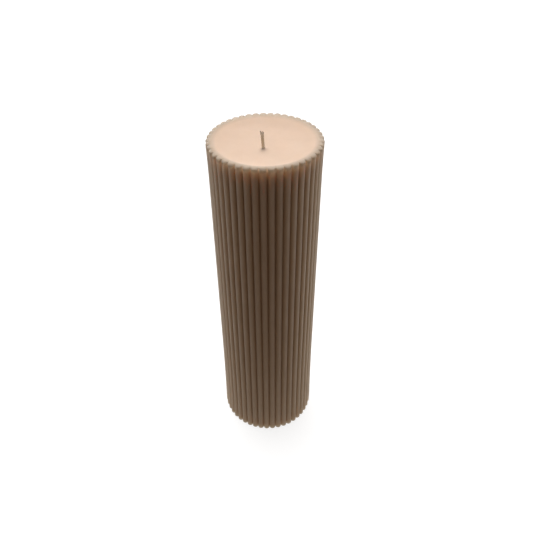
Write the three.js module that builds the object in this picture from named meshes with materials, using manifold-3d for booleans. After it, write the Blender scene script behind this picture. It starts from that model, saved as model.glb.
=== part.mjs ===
// Ribbed pillar candle: a poured wax column with round upright ribs and a dished top, a
// plaited cotton wick through its middle, and the metal clip that holds the wick's foot.
// Millimetres, +Z up. The origin is the centre of the flat base.

import * as THREE from 'three';
import { mergeVertices } from 'three/addons/utils/BufferGeometryUtils.js';
import Module from 'manifold-3d';

// Wax column
const HEIGHT = 200;
const CREST_RADIUS = 29;
const RIB_COUNT = 45;
const RIB_DEPTH = 1.75;
const RIB_ROUNDNESS = 0.98; // 1 makes each rib a half ellipse with upright flanks
const POINTS_PER_RIB = 8;
const FIRST_RIB_ANGLE = THREE.MathUtils.degToRad(-84.25); // from +X, counter-clockwise

// Dished top: the wax sinks inside its rim as it sets and stays nearly flat in the middle
const DISH_RADIUS = 26.4;
const DISH_DEPTH = 3;
const DISH_POWER = 4;
const DISH_RINGS = 10;

// Wick: three strands plaited flat, leaning a little on the way up
const WICK_FOOT = new THREE.Vector3(0, 0, 0.7);
const WICK_EXIT = new THREE.Vector3(-0.85, -4.05, HEIGHT - DISH_DEPTH);
const WICK_TIP = new THREE.Vector3(-1.5, -3.95, HEIGHT - DISH_DEPTH + 9.3);
const STRAND_COUNT = 3;
const STRAND_RADIUS = 0.25;
const STRAND_SIDES = 6;
const PLAIT_PITCH = 10;
const PLAIT_HALF_WIDTH = 0.65;
const PLAIT_HALF_THICKNESS = 0.42;
const STEPS_PER_PITCH = 9;
const TIP_SPLAY = 0.2; // the cut end opens by this share of the plait's width
const CHANNEL_RADIUS = 1.2;

// Wick clip: a thin pressed disc with a stiffening bead and a neck crimped on the wick
const CLIP_RADIUS = 10;
const CLIP_SHEET = 0.4;
const CLIP_LIFT = 0.2; // the disc sits this far inside the base
const BEAD_RADIUS = 6.5;
const BEAD_HALF_WIDTH = 0.9;
const BEAD_HEIGHT = 0.4;
const NECK_RADIUS = 1.9;
const NECK_BORE = 1.2;
const NECK_TOP = 7;
const CRIMP_DEPTH = 0.3;
const CLEARANCE = 0.3;

const ROUND_SEGMENTS = 48;
const WAX_COLOUR = 0xe4c5ab;
const COTTON_COLOUR = 0xb39a7e;
const TINPLATE_COLOUR = 0xc4c6c8;

const wasm = await Module();
wasm.setup();

// ---- helpers ----

// Keeps only positions, joins equal corners and drops triangles that have no area.
function weld(geometry) {
  const bare = geometry.clone();
  bare.deleteAttribute('normal');
  bare.deleteAttribute('uv');
  const welded = mergeVertices(bare, 1e-5);
  const index = welded.index.array;
  const kept = [];
  for (let i = 0; i < index.length; i += 3) {
    const [a, b, c] = [index[i], index[i + 1], index[i + 2]];
    if (a !== b && b !== c && c !== a) {
      kept.push(a, b, c);
    }
  }
  welded.setIndex(kept);
  return welded;
}

function toSolid(geometry) {
  const welded = weld(geometry);
  return new wasm.Manifold(new wasm.Mesh({
    numProp: 3,
    vertProperties: new Float32Array(welded.attributes.position.array),
    triVerts: new Uint32Array(welded.index.array),
  }));
}

function toGeometry(solid) {
  const mesh = solid.getMesh();
  const geometry = new THREE.BufferGeometry();
  geometry.setAttribute('position', new THREE.BufferAttribute(mesh.vertProperties, 3));
  geometry.setIndex(new THREE.BufferAttribute(mesh.triVerts, 1));
  geometry.computeVertexNormals();
  return geometry;
}

// Turns a closed profile of [radius, height] pairs about the Z axis.
function turned(profile, segments = ROUND_SEGMENTS) {
  const points = profile.map(([radius, height]) => new THREE.Vector2(radius, height));
  return new THREE.LatheGeometry(points, segments).rotateX(Math.PI / 2);
}

function named(name, geometry, material) {
  const mesh = new THREE.Mesh(geometry, material);
  mesh.name = name;
  return mesh;
}

// ---- wax column ----

// Radius of the ribbed outline at u, which runs from -1 to 1 across one rib.
function ribRadius(u) {
  const rise = Math.sqrt(1 - (RIB_ROUNDNESS * u) ** 2);
  const lowest = Math.sqrt(1 - RIB_ROUNDNESS ** 2);
  return CREST_RADIUS - RIB_DEPTH * (1 - rise) / (1 - lowest);
}

// The points crowd towards the valleys, where the outline bends most.
function ribbedOutline() {
  const outline = new THREE.Shape();
  const pitch = 2 * Math.PI / RIB_COUNT;
  for (let rib = 0; rib < RIB_COUNT; rib += 1) {
    for (let i = 0; i < POINTS_PER_RIB; i += 1) {
      const u = Math.sin(Math.PI * (i / POINTS_PER_RIB - 0.5));
      const angle = FIRST_RIB_ANGLE + (rib + u / 2) * pitch;
      const radius = ribRadius(u);
      const x = radius * Math.cos(angle);
      const y = radius * Math.sin(angle);
      if (rib === 0 && i === 0) {
        outline.moveTo(x, y);
      } else {
        outline.lineTo(x, y);
      }
    }
  }
  outline.closePath();
  return outline;
}

// The air above the dish, from its lowest point to a little over the rim.
function dishTool() {
  const profile = [];
  for (let i = 0; i <= DISH_RINGS; i += 1) {
    const share = i / DISH_RINGS;
    const sink = DISH_DEPTH * (1 - share ** DISH_POWER);
    profile.push([DISH_RADIUS * share, HEIGHT - sink]);
  }
  profile.push([DISH_RADIUS, HEIGHT + 1]);
  profile.push([0, HEIGHT + 1]);
  return turned(profile, 2 * RIB_COUNT);
}

// A straight round hole along the wick's lean, running out through both ends.
function channelTool() {
  const lean = WICK_EXIT.clone().sub(WICK_FOOT);
  const length = lean.length() + 4;
  const middle = WICK_FOOT.clone().add(WICK_EXIT).multiplyScalar(0.5);
  const geometry = new THREE.CylinderGeometry(CHANNEL_RADIUS, CHANNEL_RADIUS, length, 16);
  const turn = new THREE.Quaternion().setFromUnitVectors(
    new THREE.Vector3(0, 1, 0), lean.normalize());
  geometry.applyQuaternion(turn);
  geometry.translate(middle.x, middle.y, middle.z);
  return geometry;
}

// The space that the clip takes up in the base, with clearance all round.
function clipPocketTool() {
  const discTop = CLIP_LIFT + CLIP_SHEET + BEAD_HEIGHT + CLEARANCE;
  return turned([
    [0, -1],
    [CLIP_RADIUS + CLEARANCE, -1],
    [CLIP_RADIUS + CLEARANCE, discTop],
    [NECK_RADIUS + CLEARANCE, discTop],
    [NECK_RADIUS + CLEARANCE, NECK_TOP + CLEARANCE],
    [0, NECK_TOP + CLEARANCE],
  ]);
}

function makeWaxBody() {
  const column = new THREE.ExtrudeGeometry(ribbedOutline(), {
    depth: HEIGHT,
    bevelEnabled: false,
    steps: 1,
  });
  const solid = toSolid(column)
    .subtract(toSolid(dishTool()))
    .subtract(toSolid(channelTool()))
    .subtract(toSolid(clipPocketTool()));
  const material = new THREE.MeshStandardMaterial({
    color: WAX_COLOUR,
    roughness: 0.55,
    metalness: 0,
  });
  return named('wax_body', toGeometry(solid), material);
}

// ---- wick ----

// Centre line of one strand: the wick's lean with the strand weaving about it.
class StrandPath extends THREE.Curve {
  constructor(strand) {
    super();
    this.phase = strand * 2 * Math.PI / STRAND_COUNT;
  }

  getPoint(t, target = new THREE.Vector3()) {
    const height = THREE.MathUtils.lerp(WICK_FOOT.z, WICK_TIP.z, t);
    const stub = Math.max(0, (height - WICK_EXIT.z) / (WICK_TIP.z - WICK_EXIT.z));
    const buried = Math.min(1, (height - WICK_FOOT.z) / (WICK_EXIT.z - WICK_FOOT.z));
    const splay = 1 + TIP_SPLAY * stub ** 2;
    const turn = 2 * Math.PI * height / PLAIT_PITCH + this.phase;
    target.lerpVectors(WICK_FOOT, WICK_EXIT, buried);
    target.x += (WICK_TIP.x - WICK_EXIT.x) * stub;
    target.y += (WICK_TIP.y - WICK_EXIT.y) * stub;
    target.x += PLAIT_HALF_WIDTH * splay * Math.sin(turn);
    target.y += PLAIT_HALF_THICKNESS * splay * Math.sin(2 * turn);
    target.z = height;
    return target;
  }
}

function makeStrand(strand) {
  const section = new THREE.Shape();
  section.absarc(0, 0, STRAND_RADIUS, 0, 2 * Math.PI, false);
  const pitches = (WICK_TIP.z - WICK_FOOT.z) / PLAIT_PITCH;
  const geometry = new THREE.ExtrudeGeometry(section, {
    steps: Math.round(pitches * STEPS_PER_PITCH),
    curveSegments: STRAND_SIDES / 2,
    bevelEnabled: false,
    extrudePath: new StrandPath(strand),
  });
  const material = new THREE.MeshStandardMaterial({
    color: COTTON_COLOUR,
    roughness: 0.9,
    metalness: 0,
  });
  return named(`wick_strand_${strand + 1}`, geometry, material);
}

// ---- wick clip ----

// Pressed from one sheet: the bead is a groove below and a ridge above, and the neck
// pinches the wick halfway up.
function makeWickClip() {
  const bottom = CLIP_LIFT;
  const top = CLIP_LIFT + CLIP_SHEET;
  const flankWidth = BEAD_HALF_WIDTH / 2;
  const pinchHeight = (top + NECK_TOP) / 2;
  const geometry = turned([
    [NECK_BORE, bottom],
    [BEAD_RADIUS - BEAD_HALF_WIDTH, bottom],
    [BEAD_RADIUS - flankWidth, bottom + BEAD_HEIGHT],
    [BEAD_RADIUS + flankWidth, bottom + BEAD_HEIGHT],
    [BEAD_RADIUS + BEAD_HALF_WIDTH, bottom],
    [CLIP_RADIUS, bottom],
    [CLIP_RADIUS, top],
    [BEAD_RADIUS + BEAD_HALF_WIDTH, top],
    [BEAD_RADIUS + flankWidth, top + BEAD_HEIGHT],
    [BEAD_RADIUS - flankWidth, top + BEAD_HEIGHT],
    [BEAD_RADIUS - BEAD_HALF_WIDTH, top],
    [NECK_RADIUS + CLIP_SHEET, top],
    [NECK_RADIUS, top + CLIP_SHEET],
    [NECK_RADIUS, pinchHeight - 1],
    [NECK_RADIUS - CRIMP_DEPTH, pinchHeight],
    [NECK_RADIUS, pinchHeight + 1],
    [NECK_RADIUS, NECK_TOP],
    [NECK_BORE, NECK_TOP],
    [NECK_BORE, bottom],
  ]);
  const material = new THREE.MeshStandardMaterial({
    color: TINPLATE_COLOUR,
    roughness: 0.35,
    metalness: 0.9,
  });
  return named('wick_clip', geometry, material);
}

// ---- assembly ----

const candle = new THREE.Group();
candle.add(makeWaxBody());
for (let strand = 0; strand < STRAND_COUNT; strand += 1) {
  candle.add(makeStrand(strand));
}
candle.add(makeWickClip());

export default candle;
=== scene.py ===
"""Looks of a ribbed pillar candle: the wax column, its plaited wick and its wick clip.

Metres, in the CAD frame: +Z up, the centre of the base at the origin, the front at -Y.
"""

import math
import random

import bpy
import numpy as np
from mathutils import Matrix, Vector


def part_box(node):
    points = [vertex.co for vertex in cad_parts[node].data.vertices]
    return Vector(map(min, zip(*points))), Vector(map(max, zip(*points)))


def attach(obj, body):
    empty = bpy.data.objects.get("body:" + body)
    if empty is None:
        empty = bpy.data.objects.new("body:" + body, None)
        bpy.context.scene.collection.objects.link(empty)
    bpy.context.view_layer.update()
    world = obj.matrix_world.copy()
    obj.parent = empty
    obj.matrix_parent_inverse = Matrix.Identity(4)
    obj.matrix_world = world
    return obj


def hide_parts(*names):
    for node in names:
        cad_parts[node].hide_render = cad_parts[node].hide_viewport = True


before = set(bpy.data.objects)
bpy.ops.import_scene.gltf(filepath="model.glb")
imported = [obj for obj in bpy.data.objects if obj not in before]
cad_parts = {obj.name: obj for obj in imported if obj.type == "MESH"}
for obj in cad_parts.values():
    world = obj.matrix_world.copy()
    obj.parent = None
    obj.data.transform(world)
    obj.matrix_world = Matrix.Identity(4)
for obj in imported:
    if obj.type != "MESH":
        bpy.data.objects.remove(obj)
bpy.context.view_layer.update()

MM = 0.001
TURN = 2 * math.pi

# ---- sizes from the frame ----

WAX_LOW, WAX_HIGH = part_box("wax_body")
CLIP_LOW, CLIP_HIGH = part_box("wick_clip")
STRAND_NODES = ["wick_strand_1", "wick_strand_2", "wick_strand_3"]
HEIGHT = WAX_HIGH.z
CREST_RADIUS = (WAX_HIGH.x - WAX_LOW.x) / 2
CLIP_RADIUS = (CLIP_HIGH.x - CLIP_LOW.x) / 2
WICK_TOP = max(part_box(node)[1].z for node in STRAND_NODES)
WICK_BOTTOM = min(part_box(node)[0].z for node in STRAND_NODES)

# ---- sizes shared with the CAD source ----

RIB_COUNT = 45
RIB_DEPTH = 1.75 * MM
RIB_ROUNDNESS = 0.98
FIRST_RIB_ANGLE = math.radians(-84.25)
DISH_RADIUS = 26.4 * MM
DISH_DEPTH = 3.0 * MM
DISH_POWER = 4.0
WICK_EXIT = Vector((-0.85 * MM, -4.05 * MM, HEIGHT - DISH_DEPTH))
WICK_TIP_SHIFT = Vector((-0.65 * MM, 0.1 * MM, 0))
CLIP_SHEET = 0.4 * MM
BEAD_RADIUS = 6.5 * MM
BEAD_HALF_WIDTH = 0.9 * MM
BEAD_HEIGHT = 0.4 * MM
NECK_RADIUS = 1.9 * MM
NECK_BORE = 1.2 * MM

# ---- sizes of the visible detail (rates are per metre) ----

COLUMNS_PER_RIB = 20
INNER_COLUMN_STEP = 5
CORE_COLUMN_STEP = 4
SIDE_ROWS = 90
RIM_ROUND_VALLEY = 0.35 * MM
RIM_ROUND_CREST = 1.3 * MM
VALLEY_SINK = 0.1 * MM
CREST_RISE = 0.5 * MM
TOP_TILT = 0.45 * MM
RIM_FLARE = 0.35 * MM
RIM_FLARE_REACH = 22 * MM
RIM_WEAR = 0.1 * MM
RIM_WEAR_FADE = 40
FOOT_FLARE = 0.55 * MM
FOOT_FLARE_REACH = 60 * MM
FOOT_ROUND = 0.6 * MM
SIDE_SWAY = 0.03 * MM
SIDE_SWAY_RATE = 60

DISH_INNER_RADII = np.array((1.25, 1.6, 2.1, 2.8, 3.7, 4.8, 6.2, 7.8, 9.6, 11.5)) * MM
DISH_CORE_REACH = 2 * MM
DISH_FINE_FROM = 0.52
DISH_FINE_RINGS = 16
DISH_RIPPLE = 0.05 * MM
DISH_RIPPLE_RATE = 300
MENISCUS_REACH = 0.45 * MM
LIP_RADIUS = 0.95 * MM
LIP_FLATNESS = 0.8
LIP_RISE = 0.25 * MM

BASE_RADII = np.array((25, 22, 19, 16, 13.5, 11.5)) * MM
BASE_RIPPLE = 0.03 * MM
BASE_RIPPLE_RATE = 500
POCKET_CHAMFER = 0.3 * MM
POCKET_CHAMFER_HEIGHT = 0.15 * MM
CLIP_GAP = 0.12 * MM
CHANNEL_RADIUS = 1.1 * MM
CHANNEL_FROM = 0.06
CHANNEL_RINGS = 16
CHANNEL_NARROWING = (0.12, 0.35)
CHANNEL_SINK = 0.3 * MM

PLAIT_PITCH = 4.6 * MM
PLAIT_HALF_WIDTH = 0.6 * MM
PLAIT_HALF_THICKNESS = 0.33 * MM
PLIES = 5
PLY_RADIUS = 0.105 * MM
PLY_CIRCLE = 0.18 * MM
PLY_PITCH = 1.9 * MM
PLY_SIDES = 6
PLY_SWELL = 0.12
PLY_SWELL_LENGTH = 0.9 * MM
PLY_TIP = 0.25 * MM
PLY_TIP_SHARE = 0.35
PLY_LOOSENING = 0.5
LAY_OFFSET = 0.37
STRAND_SEED = 40
CUT_SLOPE = 0.8 * MM
CUT_RAGGEDNESS = 0.3 * MM
TIP_SPLAY = 0.3
FINE_STEP = 0.09 * MM
COARSE_STEP = 0.5 * MM
FINE_FOOT = 2 * MM
FINE_BELOW_EXIT = 1.5 * MM
STRAY_FIBRES = 9
STRAY_ABOVE_WAX = 1 * MM
STRAY_BELOW_TIP = 0.6 * MM
STRAY_RADIUS = 0.012 * MM
STRAY_THINNING = 0.6
STRAY_LENGTH = (0.35 * MM, 0.9 * MM)
STRAY_OUTWARD = 0.5
STRAY_UPWARD = 0.8
STRAY_CURL = 0.5
STRAY_ROWS = 9
STRAY_SIDES = 4

CLIP_COLUMNS = 144
CLIP_EDGE = 0.08 * MM
BORE_MOUTH = 0.5 * MM
BORE_MOUTH_LAND = 1.2 * MM
NECK_FILLET = 0.12 * MM
NECK_FLARE = 0.15 * MM
NECK_ROWS = 18
NECK_ZONE = 2.1 * MM
BEAD_STEPS = 7
PINCH_DEPTH = 0.22 * MM
PINCH_REACH = 0.9 * MM

# ---- the wax's look (a pair of places: where a tone starts and where it is full) ----

WAX_LIGHT = (0.62, 0.465, 0.362)
WAX_DARK = (0.585, 0.437, 0.338)
WAX_FLECK = (0.55, 0.40, 0.305)
# painted shade: the land round the dish and the tops of the rib ends are darker and greyer, in
# place of the light lost through the thin translucent ribs
WAX_RIM_PAINTED_SHADE = (0.35, 0.277, 0.215)
# painted shade: the rib valleys are darker below the rim, in place of the shade that falls in
# them
WAX_VALLEY_PAINTED_SHADE = (0.51, 0.373, 0.27)
VALLEY_SHADE_RADII = (28.95 * MM, 28.0 * MM)
VALLEY_SHADE_HEIGHTS = (HEIGHT - 3.0 * MM, HEIGHT - 12.0 * MM)
# where the painted shade on the rim ring and on the rib ends starts and where it is full
RIM_SHADE_RING = (24.0 * MM, 28.4 * MM)
RIM_SHADE_RING_HEIGHTS = (HEIGHT - 1.5 * MM, HEIGHT - 0.6 * MM)
RIB_END_SHADE_RADII = (27.7 * MM, 29.0 * MM)
RIB_END_SHADE_HEIGHTS = (HEIGHT - 3.0 * MM, HEIGHT - 0.8 * MM)
WAX_SUBSURFACE = 0.85
WAX_GLOW_DEPTH = 14.5 * MM
WAX_GLOW_BY_COLOUR = (1.0, 0.93, 0.84)
WAX_ROUGHNESS = (0.58, 0.7)
WAX_SPECULAR = 0.2

CLOUD_SCALE = 90.0
FLECK_SCALE = 900.0
BLOOM_SCALE = 260.0
HOLLOW_SCALE = 320.0
WAX_GRAIN_SCALE = 2600.0
WAX_SOFT_BUMP = 0.12 * MM
WAX_FINE_BUMP = 0.02 * MM

# ---- the cotton's look ----

COTTON_LIGHT = (0.93, 0.82, 0.66)
COTTON_DARK = (0.76, 0.63, 0.46)
COTTON_BLOTCH = (0.62, 0.49, 0.35)
# the wick is darker towards its tip
COTTON_TIP_DARKER = (0.17, 0.10, 0.06)
COTTON_TIP_DARKER_HEIGHTS = (WICK_TOP - 2.8 * MM, WICK_TOP - 0.6 * MM)
COTTON_TIP_DARKER_SHARE = 0.85
FIBRE_SCALE = 9000.0
FIBRE_STRETCH = (1.0, 1.0, 0.25)
BLOTCH_SCALE = 1400.0
COTTON_ROUGHNESS = (0.55, 0.8)
FIBRE_BUMP = 0.03 * MM

# ---- the tinplate's look ----

TIN_DARK = (0.62, 0.62, 0.63)
TIN_LIGHT = (0.76, 0.76, 0.77)
TIN_WAX_FILM = (0.66, 0.58, 0.5)
TIN_GRAIN_SCALE = 500.0
TIN_GRAIN_STRETCH = (1.0, 14.0, 1.0)
SPANGLE_SCALE = 420.0
FILM_SCALE = 160.0
TIN_ROUGHNESS = (0.22, 0.4)
TIN_BUMP = 0.01 * MM

# ---- camera ----

CAMERA_PITCH = math.radians(39.71)
CAMERA_ROLL = math.radians(-0.676)
CAMERA_DISTANCE = 1.6283 * HEIGHT
CAMERA_AIM = Vector((0, 0, 0.5931 * HEIGHT))
CAMERA_LENS = 37.71
CAMERA_SENSOR = 36.0
CAMERA_NEAR = 0.01

# ---- light ----

ROOM_FRONT = (0.10, 0.074, 0.052)
ROOM_BACK = (0.20, 0.19, 0.175)
ROOM_LEFT = (0.58, 0.57, 0.55)
ROOM_RIGHT = (0.70, 0.685, 0.65)
ROOM_LEFT_TO_RIGHT = (-0.2, 0.2)
ROOM_LEAN = 0.3
ROOM_SIDE_SPAN = (0.72, 1.0)
ROOM_BACK_SPAN = (0.0, 0.6)
OVERHEAD_POWER = 62.5
OVERHEAD_PLACE = (-0.12, 0.48, 2.3)
OVERHEAD_SIZE = 1.3
FLOOR_HALF = 6.0
FLOOR_DIM = (0.42, 1.0)
FLOOR_DIM_REACH = (0.03, 0.14)
FLOOR_BOUNCE = 0.42
FLOOR_BOUNCE_COLOUR = (1.0, 0.97, 0.86)
FLOOR_BOUNCE_REACH = 0.25
FLOOR_SHADE = (0.3, 0.3, 0.3, 1.0)
FLOOR_GLOW = (0.82, 1.0)
FLOOR_GLOW_REACH = (0.4, 1.8)
WHITE = (1.0, 1.0, 1.0)


# ---- mesh helpers ----

class Smooth:
    """A seeded, smooth, repeating ripple of one or two variables, from -1 to 1."""

    def __init__(self, seed, waves, low, high):
        draw = np.random.default_rng(seed)
        self.first = draw.integers(low, high + 1, waves)
        self.second = draw.uniform(-1, 1, waves)
        self.phase = draw.uniform(0, TURN, waves)

    def __call__(self, angle, along=0.0):
        total = 0.0
        for first, second, phase in zip(self.first, self.second, self.phase):
            total = total + np.sin(first * angle + second * along + phase)
        return total / len(self.first)


def new_object(name, vertices, faces, material):
    mesh = bpy.data.meshes.new(name)
    mesh.from_pydata([tuple(v) for v in vertices], [], faces)
    mesh.validate()
    mesh.update()
    mesh.shade_smooth()
    obj = bpy.data.objects.new(name, mesh)
    bpy.context.scene.collection.objects.link(obj)
    mesh.materials.append(material)
    return obj


def ring_faces(outer, inner):
    """Faces from one ring of vertex numbers to the next, which may have fewer."""
    faces = []
    ratio = len(outer) // len(inner)
    for j, corner in enumerate(inner):
        following = inner[(j + 1) % len(inner)]
        if ratio == 1:
            faces.append((outer[j], outer[(j + 1) % len(outer)], following, corner))
            continue
        for k in range(ratio):
            a = outer[ratio * j + k]
            b = outer[(ratio * j + k + 1) % len(outer)]
            faces.append((a, b, corner if k < ratio / 2 else following))
            if k == math.ceil(ratio / 2) - 1:
                faces.append((corner, b, following))
    return faces


class Rings:
    """A closed skin made of rings of points round the Z axis."""

    def __init__(self):
        self.points = []
        self.rings = []

    def add(self, x, y, z):
        x, y, z = np.broadcast_arrays(x, y, z)
        start = sum(len(part) for part in self.points)
        self.points.append(np.stack([x, y, z], axis=1))
        self.rings.append(list(range(start, start + len(x))))

    def add_round(self, radius, angles, z):
        self.add(radius * np.cos(angles), radius * np.sin(angles), z)

    def build(self, name, material):
        """Joins each ring to the next and the last to the first."""
        faces = []
        following = self.rings[1:] + self.rings[:1]
        for ring, after in zip(self.rings, following):
            if len(ring) >= len(after):
                faces += ring_faces(ring, after)
            else:
                faces += [tuple(reversed(face)) for face in ring_faces(after, ring)]
        return new_object(name, np.concatenate(self.points), faces, material)


def tube(path, radii, sides):
    """(points, faces) of a closed tube along a path, with one radius for each point."""
    tangents = np.gradient(path, axis=0)
    tangents /= np.linalg.norm(tangents, axis=1)[:, None]
    side = np.cross(tangents, np.array([0.0, 1.0, 0.0]))
    side /= np.linalg.norm(side, axis=1)[:, None]
    up = np.cross(side, tangents)
    angles = np.arange(sides) * TURN / sides
    circle = np.cos(angles)[None, :, None] * side[:, None]
    circle = circle + np.sin(angles)[None, :, None] * up[:, None]
    points = (path[:, None] + radii[:, None, None] * circle).reshape(-1, 3)
    faces = []
    for i in range(len(path) - 1):
        for j in range(sides):
            k = (j + 1) % sides
            faces.append((i * sides + j, i * sides + k, (i + 1) * sides + k, (i + 1) * sides + j))
    faces.append(tuple(reversed(range(sides))))
    faces.append(tuple((len(path) - 1) * sides + j for j in range(sides)))
    return points, faces


# ---- material helpers ----

class Nodes:
    """Short ways to add nodes to a node tree."""

    def __init__(self, tree, coordinates):
        self.tree = tree
        self.place = self.node("ShaderNodeTexCoord").outputs[coordinates]

    def node(self, kind, **values):
        node = self.tree.nodes.new(kind)
        for key, value in values.items():
            setattr(node, key, value)
        return node

    def link(self, output, target):
        self.tree.links.new(output, target)

    def scaled(self, factors):
        node = self.node("ShaderNodeMapping")
        node.inputs["Scale"].default_value = factors
        self.link(self.place, node.inputs["Vector"])
        return node.outputs["Vector"]

    def noise(self, scale, detail, rough, place=None):
        node = self.node("ShaderNodeTexNoise")
        node.inputs["Scale"].default_value = scale
        node.inputs["Detail"].default_value = detail
        node.inputs["Roughness"].default_value = rough
        self.link(place or self.place, node.inputs["Vector"])
        return node.outputs["Fac"]

    def ramp(self, factor, *stops):
        """A blend between two stops, each of them (position, colour)."""
        node = self.node("ShaderNodeValToRGB")
        for element, (position, colour) in zip(node.color_ramp.elements, stops):
            element.position = position
            element.color = (*colour, 1.0)
        self.link(factor, node.inputs["Fac"])
        return node.outputs["Color"]

    def range(self, factor, low, high, to_low=0.0, to_high=1.0, kind="LINEAR"):
        node = self.node("ShaderNodeMapRange", interpolation_type=kind)
        node.inputs["From Min"].default_value = low
        node.inputs["From Max"].default_value = high
        node.inputs["To Min"].default_value = to_low
        node.inputs["To Max"].default_value = to_high
        self.link(factor, node.inputs["Value"])
        return node.outputs["Result"]

    def math(self, operation, *values):
        node = self.node("ShaderNodeMath", operation=operation)
        for socket, value in zip(node.inputs, values):
            if isinstance(value, (int, float)):
                socket.default_value = value
            else:
                self.link(value, socket)
        return node.outputs[0]

    def mix(self, factor, a, b):
        """A blend of two colours. The mix node keeps its colour sockets after the others."""
        node = self.node("ShaderNodeMix", data_type="RGBA")
        self.link(factor, node.inputs[0])
        for socket, value in ((node.inputs[6], a), (node.inputs[7], b)):
            if isinstance(value, tuple):
                socket.default_value = (*value, 1.0)
            else:
                self.link(value, socket)
        return node.outputs[2]

    def bump(self, height, distance, strength, normal=None):
        node = self.node("ShaderNodeBump")
        node.inputs["Distance"].default_value = distance
        node.inputs["Strength"].default_value = strength
        self.link(height, node.inputs["Height"])
        if normal is not None:
            self.link(normal, node.inputs["Normal"])
        return node.outputs["Normal"]

    def axes(self, vector):
        node = self.node("ShaderNodeSeparateXYZ")
        self.link(vector, node.inputs[0])
        return node.outputs

    def glow(self, colour, strength=1.0, kind="ShaderNodeEmission"):
        node = self.node(kind)
        for socket, value in zip(node.inputs, (colour, strength)):
            if isinstance(value, tuple):
                socket.default_value = (*value, 1.0)
            elif isinstance(value, float):
                socket.default_value = value
            else:
                self.link(value, socket)
        return node.outputs[0]

    def sum(self, a, b):
        node = self.node("ShaderNodeAddShader")
        self.link(a, node.inputs[0])
        self.link(b, node.inputs[1])
        return node.outputs[0]

    def for_camera(self, seen, thrown, output):
        """Shows one shader to the camera and another to every other ray."""
        node = self.node("ShaderNodeMixShader")
        self.link(self.node("ShaderNodeLightPath").outputs["Is Camera Ray"], node.inputs[0])
        self.link(thrown, node.inputs[1])
        self.link(seen, node.inputs[2])
        self.link(node.outputs[0], output.inputs["Surface"])


class Shader(Nodes):
    """A material with one Principled shader."""

    def __init__(self, name):
        self.material = bpy.data.materials.new(name)
        self.material.use_nodes = True
        super().__init__(self.material.node_tree, "Object")
        self.principled = self.tree.nodes["Principled BSDF"]

    def set(self, **values):
        for key, value in values.items():
            socket = self.principled.inputs[key.replace("_", " ")]
            if isinstance(value, bpy.types.NodeSocket):
                self.link(value, socket)
            else:
                socket.default_value = value


# ---- materials ----

def band_share(s, radii, heights):
    """1 past the second radius and the second height, 0 short of either first one."""
    axes = s.axes(s.place)
    x_squared = s.math("MULTIPLY", axes["X"], axes["X"])
    y_squared = s.math("MULTIPLY", axes["Y"], axes["Y"])
    radius = s.math("SQRT", s.math("ADD", x_squared, y_squared))
    across = s.range(radius, *radii, kind="SMOOTHSTEP")
    along = s.range(axes["Z"], *heights, kind="SMOOTHSTEP")
    return s.math("MULTIPLY", across, along)


def wax_material():
    s = Shader("poured_wax")
    clouds = s.noise(CLOUD_SCALE, detail=4.0, rough=0.55)
    colour = s.ramp(clouds, (0.3, WAX_DARK), (0.7, WAX_LIGHT))
    flecks = s.noise(FLECK_SCALE, detail=2.0, rough=0.6)
    colour = s.mix(s.range(flecks, 0.55, 0.75, 0.0, 0.25), colour, WAX_FLECK)
    # painted shade in the rib valleys, fading out towards the top
    colour = s.mix(band_share(s, VALLEY_SHADE_RADII, VALLEY_SHADE_HEIGHTS), colour, WAX_VALLEY_PAINTED_SHADE)
    # painted shade on the rim ring round the dish and on the ends of the ribs
    rim_ring_shade = band_share(s, RIM_SHADE_RING, RIM_SHADE_RING_HEIGHTS)
    rib_end_shade = band_share(s, RIB_END_SHADE_RADII, RIB_END_SHADE_HEIGHTS)
    colour = s.mix(s.math("MAXIMUM", rim_ring_shade, rib_end_shade), colour, WAX_RIM_PAINTED_SHADE)
    bloom = s.noise(BLOOM_SCALE, detail=3.0, rough=0.6)
    roughness = s.range(bloom, 0.3, 0.7, *WAX_ROUGHNESS)
    hollows = s.noise(HOLLOW_SCALE, detail=4.0, rough=0.55)
    soft = s.bump(hollows, WAX_SOFT_BUMP, strength=0.5)
    grain = s.noise(WAX_GRAIN_SCALE, detail=3.0, rough=0.6)
    fine = s.bump(grain, WAX_FINE_BUMP, strength=0.4, normal=soft)
    s.set(
        Base_Color=colour,
        Roughness=roughness,
        Normal=fine,
        IOR=1.44,
        Specular_IOR_Level=WAX_SPECULAR,
        Subsurface_Weight=WAX_SUBSURFACE,
        Subsurface_Radius=WAX_GLOW_BY_COLOUR,
        Subsurface_Scale=WAX_GLOW_DEPTH,
    )
    return s.material


def cotton_material():
    s = Shader("wick_cotton")
    fibres = s.noise(FIBRE_SCALE, detail=4.0, rough=0.7, place=s.scaled(FIBRE_STRETCH))
    colour = s.ramp(fibres, (0.3, COTTON_DARK), (0.7, COTTON_LIGHT))
    blotches = s.noise(BLOTCH_SCALE, detail=2.0, rough=0.5)
    colour = s.mix(s.range(blotches, 0.4, 0.7, 0.0, 0.35), colour, COTTON_BLOTCH)
    height = s.axes(s.place)["Z"]
    # darker towards the tip of the wick
    tip_darkening = s.range(height, *COTTON_TIP_DARKER_HEIGHTS, 0.0, COTTON_TIP_DARKER_SHARE)
    colour = s.mix(tip_darkening, colour, COTTON_TIP_DARKER)
    s.set(
        Base_Color=colour,
        Roughness=s.range(blotches, 0.3, 0.7, *COTTON_ROUGHNESS),
        Normal=s.bump(fibres, FIBRE_BUMP, strength=0.8),
        Sheen_Weight=0.25,
        Sheen_Roughness=0.5,
        Subsurface_Weight=0.3,
        Subsurface_Radius=(1.0, 0.8, 0.6),
        Subsurface_Scale=0.3 * MM,
    )
    return s.material


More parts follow.
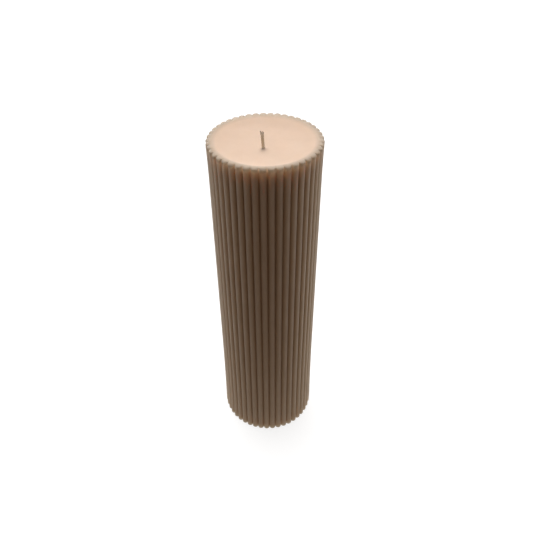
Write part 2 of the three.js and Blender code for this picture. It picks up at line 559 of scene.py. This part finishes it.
def tinplate_material():
    s = Shader("tinplate")
    long_grain = s.scaled(TIN_GRAIN_STRETCH)
    grain = s.noise(TIN_GRAIN_SCALE, detail=4.0, rough=0.6, place=long_grain)
    spangle = s.noise(SPANGLE_SCALE, detail=2.0, rough=0.5)
    colour = s.ramp(spangle, (0.35, TIN_DARK), (0.65, TIN_LIGHT))
    film = s.noise(FILM_SCALE, detail=3.0, rough=0.6)
    colour = s.mix(s.range(film, 0.55, 0.75, 0.0, 0.5), colour, TIN_WAX_FILM)
    s.set(
        Base_Color=colour,
        Metallic=1.0,
        Roughness=s.range(grain, 0.3, 0.7, *TIN_ROUGHNESS),
        Normal=s.bump(grain, TIN_BUMP, strength=0.5),
    )
    return s.material


# ---- wax column ----

def column_angles():
    """(angles, u) round the column, crowding to the valleys. u is -1 to 1 across a rib."""
    steps = np.arange(COLUMNS_PER_RIB) / COLUMNS_PER_RIB - 0.5
    across = np.sin(math.pi * steps)
    ribs = np.arange(RIB_COUNT)[:, None]
    angles = FIRST_RIB_ANGLE + (ribs + across[None, :] / 2) * TURN / RIB_COUNT
    return angles.ravel(), np.tile(across, RIB_COUNT)


def rib_outline(across):
    rise = np.sqrt(1 - (RIB_ROUNDNESS * across) ** 2)
    lowest = math.sqrt(1 - RIB_ROUNDNESS ** 2)
    return CREST_RADIUS - RIB_DEPTH * (1 - rise) / (1 - lowest)


def rim_shape(outline):
    """(rounding, rise) of the edge: a rib ends in a low dome, a valley in a sharper step."""
    crest = 1 - (CREST_RADIUS - outline) / RIB_DEPTH
    rounding = RIM_ROUND_VALLEY + (RIM_ROUND_CREST - RIM_ROUND_VALLEY) * crest
    return rounding, CREST_RISE * crest - VALLEY_SINK


def dish_height(share):
    return HEIGHT - DISH_DEPTH * (1 - share ** DISH_POWER)


def flare(z):
    """How far the sides stand out past straight, near the top and the foot."""
    near_top = np.clip((z - HEIGHT + RIM_FLARE_REACH) / RIM_FLARE_REACH, 0, 1)
    near_foot = np.clip((FOOT_FLARE_REACH - z) / FOOT_FLARE_REACH, 0, 1)
    return RIM_FLARE * near_top ** 2 + FOOT_FLARE * near_foot ** 2


def lean_top(points):
    """Tilts the top a little to the front, so that the back is taller."""
    share = points[:, 2] / HEIGHT
    points[:, 2] += TOP_TILT * share ** 4 * points[:, 1] / CREST_RADIUS


class WaxSkin(Rings):
    """The column's skin: out over the top, down the ribs, in under the base and back up
    the wick's channel. Towards the middle the rings have fewer points."""

    def __init__(self):
        super().__init__()
        self.angles, across = column_angles()
        self.inner_angles = self.angles[2::INNER_COLUMN_STEP]
        self.core_angles = self.inner_angles[1::CORE_COLUMN_STEP]
        self.straight = rib_outline(across)
        self.rounding, self.rise = rim_shape(self.straight)
        self.pour = Smooth(seed=5, waves=9, low=2, high=7)
        rim = Smooth(seed=8, waves=24, low=9, high=60)
        self.wear = RIM_WEAR * (1 + rim(self.angles))

    def add_dish(self):
        """The lip of wax on the wick and the dish round it."""
        lip_x = LIP_RADIUS * np.cos(self.core_angles)
        lip_y = LIP_FLATNESS * LIP_RADIUS * np.sin(self.core_angles)
        self.add(WICK_EXIT.x + lip_x, WICK_EXIT.y + lip_y, WICK_EXIT.z + LIP_RISE)
        for radius in DISH_INNER_RADII:
            in_core = radius < DISH_CORE_REACH
            self.add_dish_ring(self.core_angles if in_core else self.inner_angles, radius)
        for share in np.linspace(DISH_FINE_FROM, 1.0, DISH_FINE_RINGS):
            self.add_dish_ring(self.angles, share * DISH_RADIUS)

    def add_dish_ring(self, angles, radius):
        """One ring of the dish. Towards the middle it shifts so as to lie round the wick."""
        share = radius / DISH_RADIUS
        shift = (1 - share) ** 2
        meniscus = LIP_RISE * math.exp(-(radius - LIP_RADIUS) / MENISCUS_REACH)
        fade = DISH_RIPPLE * (1 - share) * share * 4
        ripple = fade * self.pour(angles, radius * DISH_RIPPLE_RATE)
        x = WICK_EXIT.x * shift + radius * np.cos(angles)
        y = WICK_EXIT.y * shift + radius * np.sin(angles)
        self.add(x, y, dish_height(share) + meniscus + ripple)

    def add_rim(self):
        """The land between the dish and the ribs' ends, and its rounded edge."""
        outline = self.straight + RIM_FLARE
        for share in (0.35, 0.7, 1.0):
            radius = DISH_RADIUS + (outline - self.rounding - DISH_RADIUS) * share
            self.add_round(radius, self.angles, HEIGHT - self.wear + self.rise * share)
        for bend in np.radians((15, 30, 45, 60, 75)):
            radius = outline - self.rounding * (1 - math.sin(bend))
            z = HEIGHT - self.wear + self.rise - self.rounding * (1 - math.cos(bend))
            self.add_round(radius, self.angles, z)

    def add_side(self):
        sway = Smooth(seed=3, waves=7, low=1, high=5)
        for share in np.linspace(0, 1, SIDE_ROWS):
            z = (HEIGHT + self.rise - self.rounding) * (1 - share) + FOOT_ROUND * share
            inset = SIDE_SWAY * (1 + sway(self.angles, z * SIDE_SWAY_RATE))
            near_rim = max(0.0, 1 - share * RIM_WEAR_FADE)
            radius = self.straight + flare(z) - inset
            self.add_round(radius, self.angles, z - self.wear * near_rim)

    def add_base(self):
        """The rounded foot and the flat base, in to the clip."""
        for bend in np.radians((60, 30, 0)):
            radius = self.straight + FOOT_FLARE - FOOT_ROUND * (1 - math.sin(bend))
            self.add_round(radius, self.angles, FOOT_ROUND * (1 - math.cos(bend)))
        for radius in BASE_RADII:
            ripple = 1 + self.pour(self.inner_angles, radius * BASE_RIPPLE_RATE)
            self.add_round(radius, self.inner_angles, BASE_RIPPLE * ripple)

    def add_clip_pocket(self):
        pocket = CLIP_RADIUS + CLIP_GAP
        ceiling = CLIP_LOW.z + CLIP_SHEET + BEAD_HEIGHT + CLIP_GAP
        neck = NECK_RADIUS + CLIP_GAP
        neck_top = CLIP_HIGH.z + CLIP_GAP
        for radius, z in (
            (pocket + POCKET_CHAMFER, 0.0),
            (pocket, POCKET_CHAMFER_HEIGHT),
            (pocket, ceiling),
        ):
            self.add_round(radius, self.inner_angles, z)
        for radius, z in (
            (neck + CLIP_SHEET, ceiling),
            (neck, ceiling + CLIP_SHEET),
            (neck, neck_top),
            (CHANNEL_RADIUS, neck_top),
        ):
            self.add_round(radius, self.core_angles, z)

    def add_channel(self):
        """The hole that the wick fills. It leans with the wick and narrows on the way up."""
        round_x = CHANNEL_RADIUS * np.cos(self.core_angles)
        round_y = CHANNEL_RADIUS * np.sin(self.core_angles)
        for share in np.linspace(CHANNEL_FROM, 1, CHANNEL_RINGS):
            centre = WICK_EXIT * share
            x = centre.x + round_x * (1 - CHANNEL_NARROWING[0] * share)
            y = centre.y + round_y * (1 - CHANNEL_NARROWING[1] * share)
            self.add(x, y, centre.z - CHANNEL_SINK)


def make_wax(material):
    skin = WaxSkin()
    skin.add_dish()
    skin.add_rim()
    skin.add_side()
    skin.add_base()
    skin.add_clip_pocket()
    skin.add_channel()
    for ring in skin.points:
        lean_top(ring)
    return skin.build("wax_column", material)


# ---- wick ----

def wick_centre(z):
    """(x, y, stub) at a height. Stub is 0 where the wick leaves the wax and 1 at its tip."""
    buried = np.clip((z - WICK_BOTTOM) / (WICK_EXIT.z - WICK_BOTTOM), 0, 1)
    stub = np.clip((z - WICK_EXIT.z) / (WICK_TOP - WICK_EXIT.z), 0, 1)
    x = WICK_EXIT.x * buried + WICK_TIP_SHIFT.x * stub
    y = WICK_EXIT.y * buried + WICK_TIP_SHIFT.y * stub
    return x, y, stub


def ply_path(z, strand, ply):
    """Centre of one ply: it twists round its strand, which weaves in the plait."""
    x, y, stub = wick_centre(z)
    splay = 1 + TIP_SPLAY * stub ** 2
    turn = TURN * (z / PLAIT_PITCH + strand / 3)
    x = x + PLAIT_HALF_WIDTH * splay * np.sin(turn)
    y = y + PLAIT_HALF_THICKNESS * splay * np.sin(2 * turn)
    lay = TURN * (z / PLY_PITCH + ply / PLIES + strand * LAY_OFFSET)
    loosen = PLY_CIRCLE * (1 + PLY_LOOSENING * stub ** 8)
    x = x + loosen * np.cos(lay)
    y = y + loosen * np.sin(lay)
    return np.stack([x, y, z], axis=1)


def ply_levels(top):
    """Heights along a ply: close together where it shows, at the top and in the clip."""
    fine_from = WICK_EXIT.z - FINE_BELOW_EXIT
    foot = np.arange(WICK_BOTTOM, WICK_BOTTOM + FINE_FOOT, FINE_STEP)
    buried = np.arange(WICK_BOTTOM + FINE_FOOT, fine_from, COARSE_STEP)
    stub = np.arange(fine_from, top, FINE_STEP)
    return np.concatenate([foot, buried, stub])


def ply_tube(draw, strand, ply, cut):
    """One ply up to the slanting cut. It is a little uneven and thins at its end."""
    top = cut - CUT_RAGGEDNESS * draw.random()
    z = ply_levels(top)
    taper = np.clip((top - z) / PLY_TIP, PLY_TIP_SHARE, 1)
    swell = 1 + PLY_SWELL * np.sin(z / PLY_SWELL_LENGTH + draw.uniform(0, TURN))
    return tube(ply_path(z, strand, ply), PLY_RADIUS * taper * swell, PLY_SIDES)


def make_strand(index, material):
    draw = random.Random(STRAND_SEED + index)
    side = math.sin(TURN * (WICK_TOP / PLAIT_PITCH + index / 3))
    cut = WICK_TOP - CUT_SLOPE * (1 + side) / 2
    parts = [ply_tube(draw, index, ply, cut) for ply in range(PLIES)]
    parts += [stray_fibre(draw, index) for _ in range(STRAY_FIBRES)]
    points, faces, count = [], [], 0
    for part_points, part_faces in parts:
        points.append(part_points)
        faces += [tuple(v + count for v in face) for face in part_faces]
        count += len(part_points)
    return new_object(f"wick_yarn_{index + 1}", np.concatenate(points), faces, material)


def stray_fibre(draw, strand):
    """A hair of cotton that leaves the yarn, curls and ends in the air."""
    start = draw.uniform(WICK_EXIT.z + STRAY_ABOVE_WAX, WICK_TOP - STRAY_BELOW_TIP)
    root = ply_path(np.array([start]), strand, draw.randrange(PLIES))[0]
    x, y, _ = wick_centre(np.array([start]))
    outward = np.array([root[0] - x[0], root[1] - y[0], 0.0])
    outward /= np.linalg.norm(outward) + 1e-9
    length = draw.uniform(*STRAY_LENGTH)
    curl = STRAY_CURL * draw.uniform(-1, 1)
    share = np.linspace(0, 1, STRAY_ROWS)[:, None]
    up = np.array([0, 0, 1.0])
    across = np.cross(up, outward)
    rise = share * (STRAY_OUTWARD * outward + STRAY_UPWARD * up)
    path = root + length * (rise + share ** 2 * curl * across)
    return tube(path, STRAY_RADIUS * (1 - STRAY_THINNING * share[:, 0]), STRAY_SIDES)


# ---- wick clip ----

def bead(level, start, end, down=False):
    """One flank of the stiffening bead as a smooth S, from start to end past its middle."""
    steps = np.linspace(0, 1, BEAD_STEPS)
    rise = (1 - np.cos(math.pi * steps)) / 2
    if down:
        rise = 1 - rise
    radii = BEAD_RADIUS + start + (end - start) * steps
    return [(r, level + BEAD_HEIGHT * h) for r, h in zip(radii, rise)]


def clip_profile():
    """(radius, height) round the section of the pressed sheet."""
    low = CLIP_LOW.z
    top = low + CLIP_SHEET
    high = CLIP_HIGH.z
    flank = BEAD_HALF_WIDTH / 2
    under = [(NECK_BORE + BORE_MOUTH, low), (NECK_BORE + BORE_MOUTH_LAND, low)]
    under += bead(low, -BEAD_HALF_WIDTH, -flank)
    under += bead(low, flank, BEAD_HALF_WIDTH, down=True)
    under += [(CLIP_RADIUS - CLIP_EDGE, low), (CLIP_RADIUS, low + CLIP_EDGE)]
    over = [(CLIP_RADIUS, top - CLIP_EDGE), (CLIP_RADIUS - CLIP_EDGE, top)]
    over += bead(top, BEAD_HALF_WIDTH, flank)
    over += bead(top, -flank, -BEAD_HALF_WIDTH, down=True)
    over += [(NECK_RADIUS + CLIP_SHEET, top), (NECK_RADIUS + NECK_FILLET, top + NECK_FILLET)]
    neck_levels = np.linspace(top + CLIP_SHEET, high - CLIP_EDGE, NECK_ROWS)
    neck = [(NECK_RADIUS, z) for z in neck_levels]
    neck += [(NECK_RADIUS - CLIP_EDGE, high), (NECK_BORE + CLIP_EDGE, high)]
    bore_levels = np.linspace(high - CLIP_EDGE, low + BORE_MOUTH, NECK_ROWS)
    bore = [(NECK_BORE, z) for z in bore_levels]
    bore += [(NECK_BORE + NECK_FLARE, low + NECK_FLARE)]
    return under + over + neck + bore


def make_clip(material):
    """Turns the profile. The neck is pinched from four sides at half its height."""
    angles = np.arange(CLIP_COLUMNS) * TURN / CLIP_COLUMNS
    pinch_height = (CLIP_LOW.z + CLIP_SHEET + CLIP_HIGH.z) / 2
    four_sides = np.abs(np.cos(2 * angles)) ** 6
    skin = Rings()
    for radius, z in clip_profile():
        in_neck = radius < NECK_ZONE
        pinch = math.exp(-((z - pinch_height) / PINCH_REACH) ** 2) if in_neck else 0
        skin.add_round(radius - PINCH_DEPTH * pinch * four_sides, angles, z)
    return skin.build("wick_clip_pressed", material)


# ---- camera, lights and surroundings ----

def make_camera():
    camera = bpy.data.objects.new("camera", bpy.data.cameras.new("camera"))
    camera.data.sensor_width = CAMERA_SENSOR
    camera.data.lens = CAMERA_LENS
    camera.data.clip_start = CAMERA_NEAR
    turn = Matrix.Rotation(math.pi / 2 - CAMERA_PITCH, 4, "X")
    turn = turn @ Matrix.Rotation(CAMERA_ROLL, 4, "Z")
    back = turn @ Vector((0, 0, 1))
    camera.matrix_world = Matrix.Translation(CAMERA_AIM + CAMERA_DISTANCE * back) @ turn
    bpy.context.scene.collection.objects.link(camera)
    bpy.context.scene.camera = camera


def make_overhead_light():
    """One wide soft disc above, aimed at the top of the candle."""
    light = bpy.data.lights.new("overhead", "AREA")
    light.shape = "DISK"
    light.size = OVERHEAD_SIZE
    light.energy = OVERHEAD_POWER
    obj = bpy.data.objects.new("overhead", light)
    obj.location = OVERHEAD_PLACE
    down = Vector((0, 0, HEIGHT)) - Vector(OVERHEAD_PLACE)
    obj.rotation_euler = down.to_track_quat("-Z", "Y").to_euler()
    obj.visible_camera = False
    bpy.context.scene.collection.objects.link(obj)


def surroundings(nodes, direction):
    """The soft light that comes from a direction: mostly from both sides, a little behind."""
    axes = nodes.axes(direction)
    lean = nodes.math("MULTIPLY", axes["Y"], ROOM_LEAN)
    sideways = nodes.math("ADD", nodes.math("ABSOLUTE", axes["X"]), lean)
    side = nodes.range(sideways, *ROOM_SIDE_SPAN, kind="SMOOTHSTEP")
    back = nodes.range(axes["Y"], *ROOM_BACK_SPAN, kind="SMOOTHSTEP")
    right = nodes.range(axes["X"], *ROOM_LEFT_TO_RIGHT)
    return nodes.mix(
        side,
        nodes.mix(back, ROOM_FRONT, ROOM_BACK),
        nodes.mix(right, ROOM_LEFT, ROOM_RIGHT),
    )


def make_world():
    """Soft side light for the object, and plain white behind it."""
    world = bpy.data.worlds.new("studio")
    bpy.context.scene.world = world
    world.use_nodes = True
    world.node_tree.nodes.clear()
    n = Nodes(world.node_tree, "Generated")
    thrown = n.glow(surroundings(n, n.place), kind="ShaderNodeBackground")
    seen = n.glow(WHITE, kind="ShaderNodeBackground")
    n.for_camera(seen, thrown, n.node("ShaderNodeOutputWorld"))


def make_floor():
    """A white floor with a soft shadow. The light it throws follows the surroundings. Near
    the candle that light is dimmer, and a pale glow is added to it."""
    s = Shader("floor")
    s.tree.nodes.remove(s.principled)
    shade = s.node("ShaderNodeBsdfDiffuse")
    shade.inputs["Color"].default_value = FLOOR_SHADE
    outward = s.node("ShaderNodeVectorMath", operation="NORMALIZE")
    s.link(s.place, outward.inputs[0])
    distance = s.node("ShaderNodeVectorMath", operation="LENGTH")
    s.link(s.place, distance.inputs[0])
    whiteness = s.range(distance.outputs["Value"], *FLOOR_GLOW_REACH, *FLOOR_GLOW)
    seen = s.sum(shade.outputs[0], s.glow(WHITE, whiteness))
    share = s.range(distance.outputs["Value"], *FLOOR_DIM_REACH, *FLOOR_DIM)
    far = s.glow(surroundings(s, outward.outputs["Vector"]), share)
    near = s.range(distance.outputs["Value"], 0.0, FLOOR_BOUNCE_REACH, FLOOR_BOUNCE, 0.0)
    thrown = s.sum(far, s.glow(FLOOR_BOUNCE_COLOUR, near))
    s.for_camera(seen, thrown, s.tree.nodes["Material Output"])
    signs = ((-1, -1), (1, -1), (1, 1), (-1, 1))
    corners = [(x * FLOOR_HALF, y * FLOOR_HALF, 0) for x, y in signs]
    new_object("floor", corners, [(0, 1, 2, 3)], s.material)


# ---- assembly ----

make_camera()
make_world()
make_overhead_light()
make_floor()

wax = make_wax(wax_material())
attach(wax, "root")
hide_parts("wax_body")

cotton = cotton_material()
for index, node in enumerate(STRAND_NODES):
    yarn = make_strand(index, cotton)
    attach(yarn, "root")
    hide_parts(node)

clip = make_clip(tinplate_material())
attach(clip, "root")
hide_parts("wick_clip")

bpy.context.scene.view_settings.view_transform = "Standard"
